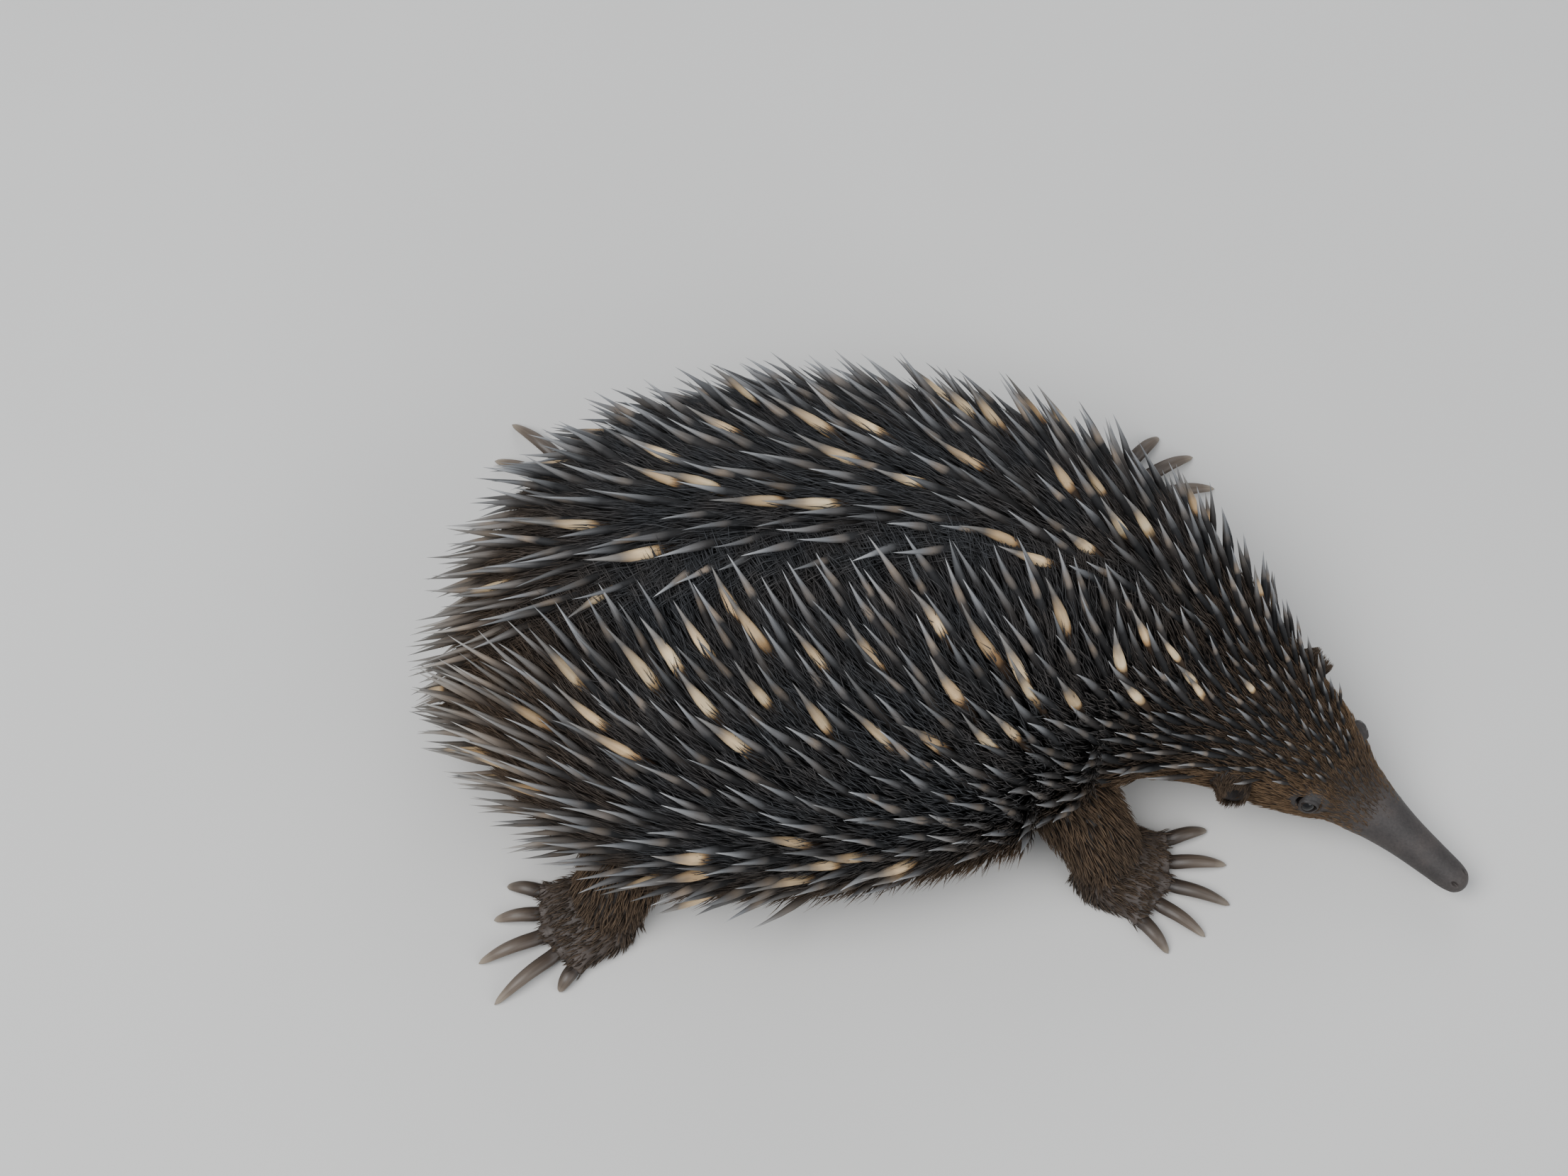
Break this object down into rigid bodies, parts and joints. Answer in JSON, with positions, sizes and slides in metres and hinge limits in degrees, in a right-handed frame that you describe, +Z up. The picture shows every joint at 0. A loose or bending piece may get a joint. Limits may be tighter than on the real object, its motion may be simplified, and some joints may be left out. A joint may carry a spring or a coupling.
{
  "type": "short-beaked echidna model",
  "caption": "Life-size still model of a short-beaked echidna crouched on the floor, head lowered and turned right, its back covered in backswept spines.",
  "frame": {"origin": "on the floor, on the flat of the belly below the middle of the back", "axes": "+X towards the head end, +Y to the animal's left, +Z up"},
  "size_m": [0.4559, 0.2722, 0.1529],
  "materials": {
    "coat": "near-black brown fur with dark grey and cream horn spines",
    "beak_skin": "smooth dark grey-brown skin",
    "foot_skin": "wrinkled dark brown skin",
    "claw_horn": "worn dark horn",
    "eye": "wet black"
  },
  "bodies": {
    "root": {"tail": "coat", "rump": "coat", "back": "coat", "shoulders": "coat", "neck": "coat", "head": "coat", "ear_left": "coat", "ear_right": "coat", "front_leg_left": "coat", "front_leg_right": "coat", "hind_leg_left": "coat", "hind_leg_right": "coat", "snout": "beak_skin", "front_foot_left": "foot_skin", "front_foot_right": "foot_skin", "hind_foot_left": "foot_skin", "hind_foot_right": "foot_skin", "claw_front_left_1": "claw_horn", "claw_front_left_2": "claw_horn", "claw_front_left_3": "claw_horn", "claw_front_left_4": "claw_horn", "claw_front_left_5": "claw_horn", "claw_front_right_1": "claw_horn", "claw_front_right_2": "claw_horn", "claw_front_right_3": "claw_horn", "claw_front_right_4": "claw_horn", "claw_front_right_5": "claw_horn", "claw_hind_left_1": "claw_horn", "claw_hind_left_2": "claw_horn", "claw_hind_left_3": "claw_horn", "claw_hind_left_4": "claw_horn", "claw_hind_left_5": "claw_horn", "claw_hind_right_1": "claw_horn", "claw_hind_right_2": "claw_horn", "claw_hind_right_3": "claw_horn", "claw_hind_right_4": "claw_horn", "claw_hind_right_5": "claw_horn", "eye_left": "eye", "eye_right": "eye"}
  },
  "joints": []
}
